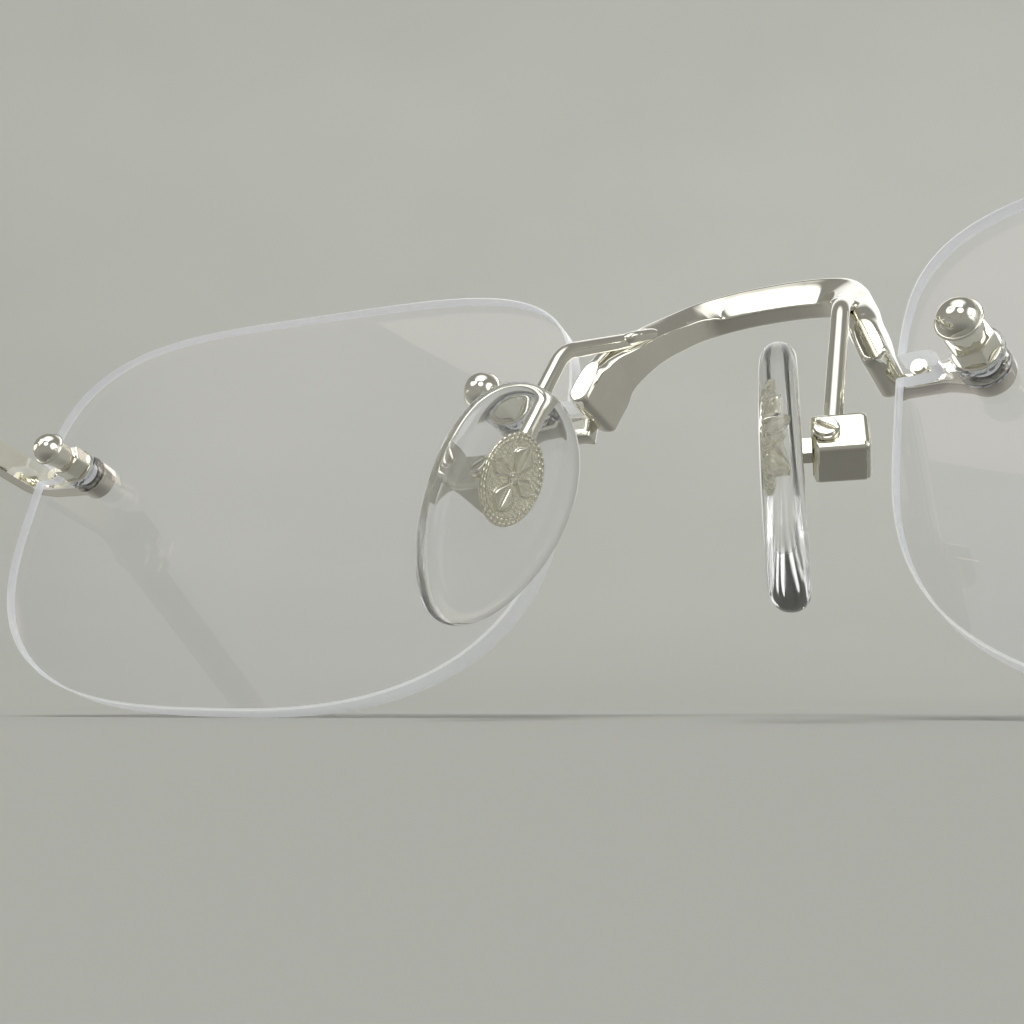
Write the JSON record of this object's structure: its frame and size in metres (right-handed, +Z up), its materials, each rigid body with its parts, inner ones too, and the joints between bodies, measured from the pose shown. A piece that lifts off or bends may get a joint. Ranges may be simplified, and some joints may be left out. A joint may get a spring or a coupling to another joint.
{
  "type": "rimless eyeglasses",
  "caption": "Rimless eyeglasses with clear rounded-rectangle lenses clamped on studs, an arched metal bridge, rocking clear nose pads and folding temples.",
  "frame": {"origin": "on the surface the glasses lie on, at the middle of the box round them, midway between the lenses and the temple tips", "axes": "+X to the wearer's left, -Y the way the lenses look, +Z up; X = 0 is the plane of symmetry"},
  "size_m": [0.1248, 0.1643, 0.0314],
  "materials": {
    "frame_metal": "polished, slightly warm silver plating with fine handling marks",
    "fastener_steel": "polished steel",
    "plate_metal": "stamped and polished, with a fine hatched ground",
    "lens": "clear optical plastic with polished edges",
    "pad_silicone": "clear soft silicone, glossy",
    "clear_plastic": "clear nylon",
    "tip_plastic": "polished dark plastic"
  },
  "bodies": {
    "front": {"bridge": "frame_metal", "lens_left": "lens", "nasal_sleeve_left": "clear_plastic", "nasal_front_washer_left": "clear_plastic", "nasal_rear_washer_left": "clear_plastic", "nasal_steel_washer_left": "fastener_steel", "nasal_nut_left": "fastener_steel", "nasal_cap_left": "fastener_steel", "temporal_sleeve_left": "clear_plastic", "temporal_front_washer_left": "clear_plastic", "temporal_rear_washer_left": "clear_plastic", "temporal_steel_washer_left": "fastener_steel", "temporal_nut_left": "fastener_steel", "temporal_cap_left": "fastener_steel", "bridge_stud_left": "fastener_steel", "bridge_peg_left": "frame_metal", "end_stud_left": "fastener_steel", "end_peg_left": "frame_metal", "pad_box_left": "frame_metal", "pad_screw_left": "fastener_steel", "pad_arm_left": "frame_metal", "end_piece_left": "frame_metal", "hinge_screw_left": "fastener_steel", "lens_right": "lens", "nasal_sleeve_right": "clear_plastic", "nasal_front_washer_right": "clear_plastic", "nasal_rear_washer_right": "clear_plastic", "nasal_steel_washer_right": "fastener_steel", "nasal_nut_right": "fastener_steel", "nasal_cap_right": "fastener_steel", "temporal_sleeve_right": "clear_plastic", "temporal_front_washer_right": "clear_plastic", "temporal_rear_washer_right": "clear_plastic", "temporal_steel_washer_right": "fastener_steel", "temporal_nut_right": "fastener_steel", "temporal_cap_right": "fastener_steel", "bridge_stud_right": "fastener_steel", "bridge_peg_right": "frame_metal", "end_stud_right": "fastener_steel", "end_peg_right": "frame_metal", "pad_box_right": "frame_metal", "pad_screw_right": "fastener_steel", "pad_arm_right": "frame_metal", "end_piece_right": "frame_metal", "hinge_screw_right": "fastener_steel"},
    "temple_left": {"temple_left": "frame_metal", "temple_tip_left": "tip_plastic"},
    "temple_right": {"temple_right": "frame_metal", "temple_tip_right": "tip_plastic"},
    "pad_left": {"pad_core_left": "plate_metal", "pad_plate_left": "plate_metal", "nose_pad_left": "pad_silicone"},
    "pad_right": {"pad_core_right": "plate_metal", "pad_plate_right": "plate_metal", "nose_pad_right": "pad_silicone"}
  },
  "joints": [
    {"name": "left_temple_fold", "type": "hinge", "parent": "front", "child": "temple_left", "pos_m": [0.05973, -0.05287, 0.02374], "axis": [0, 0, 1], "range_deg": [0, 90]},
    {"name": "right_temple_fold", "type": "hinge", "parent": "front", "child": "temple_right", "pos_m": [-0.05973, -0.05287, 0.02374], "axis": [0, 0, -1], "range_deg": [0, 82]},
    {"name": "left_pad_rock", "type": "hinge", "parent": "front", "child": "pad_left", "pos_m": [0.0101, -0.05892, 0.01374], "axis": [0.2574, 0.8179, 0.5146], "range_deg": [-8, 8]},
    {"name": "right_pad_rock", "type": "hinge", "parent": "front", "child": "pad_right", "pos_m": [-0.0101, -0.05892, 0.01374], "axis": [0.2574, -0.8179, -0.5146], "range_deg": [-8, 8]}
  ]
}
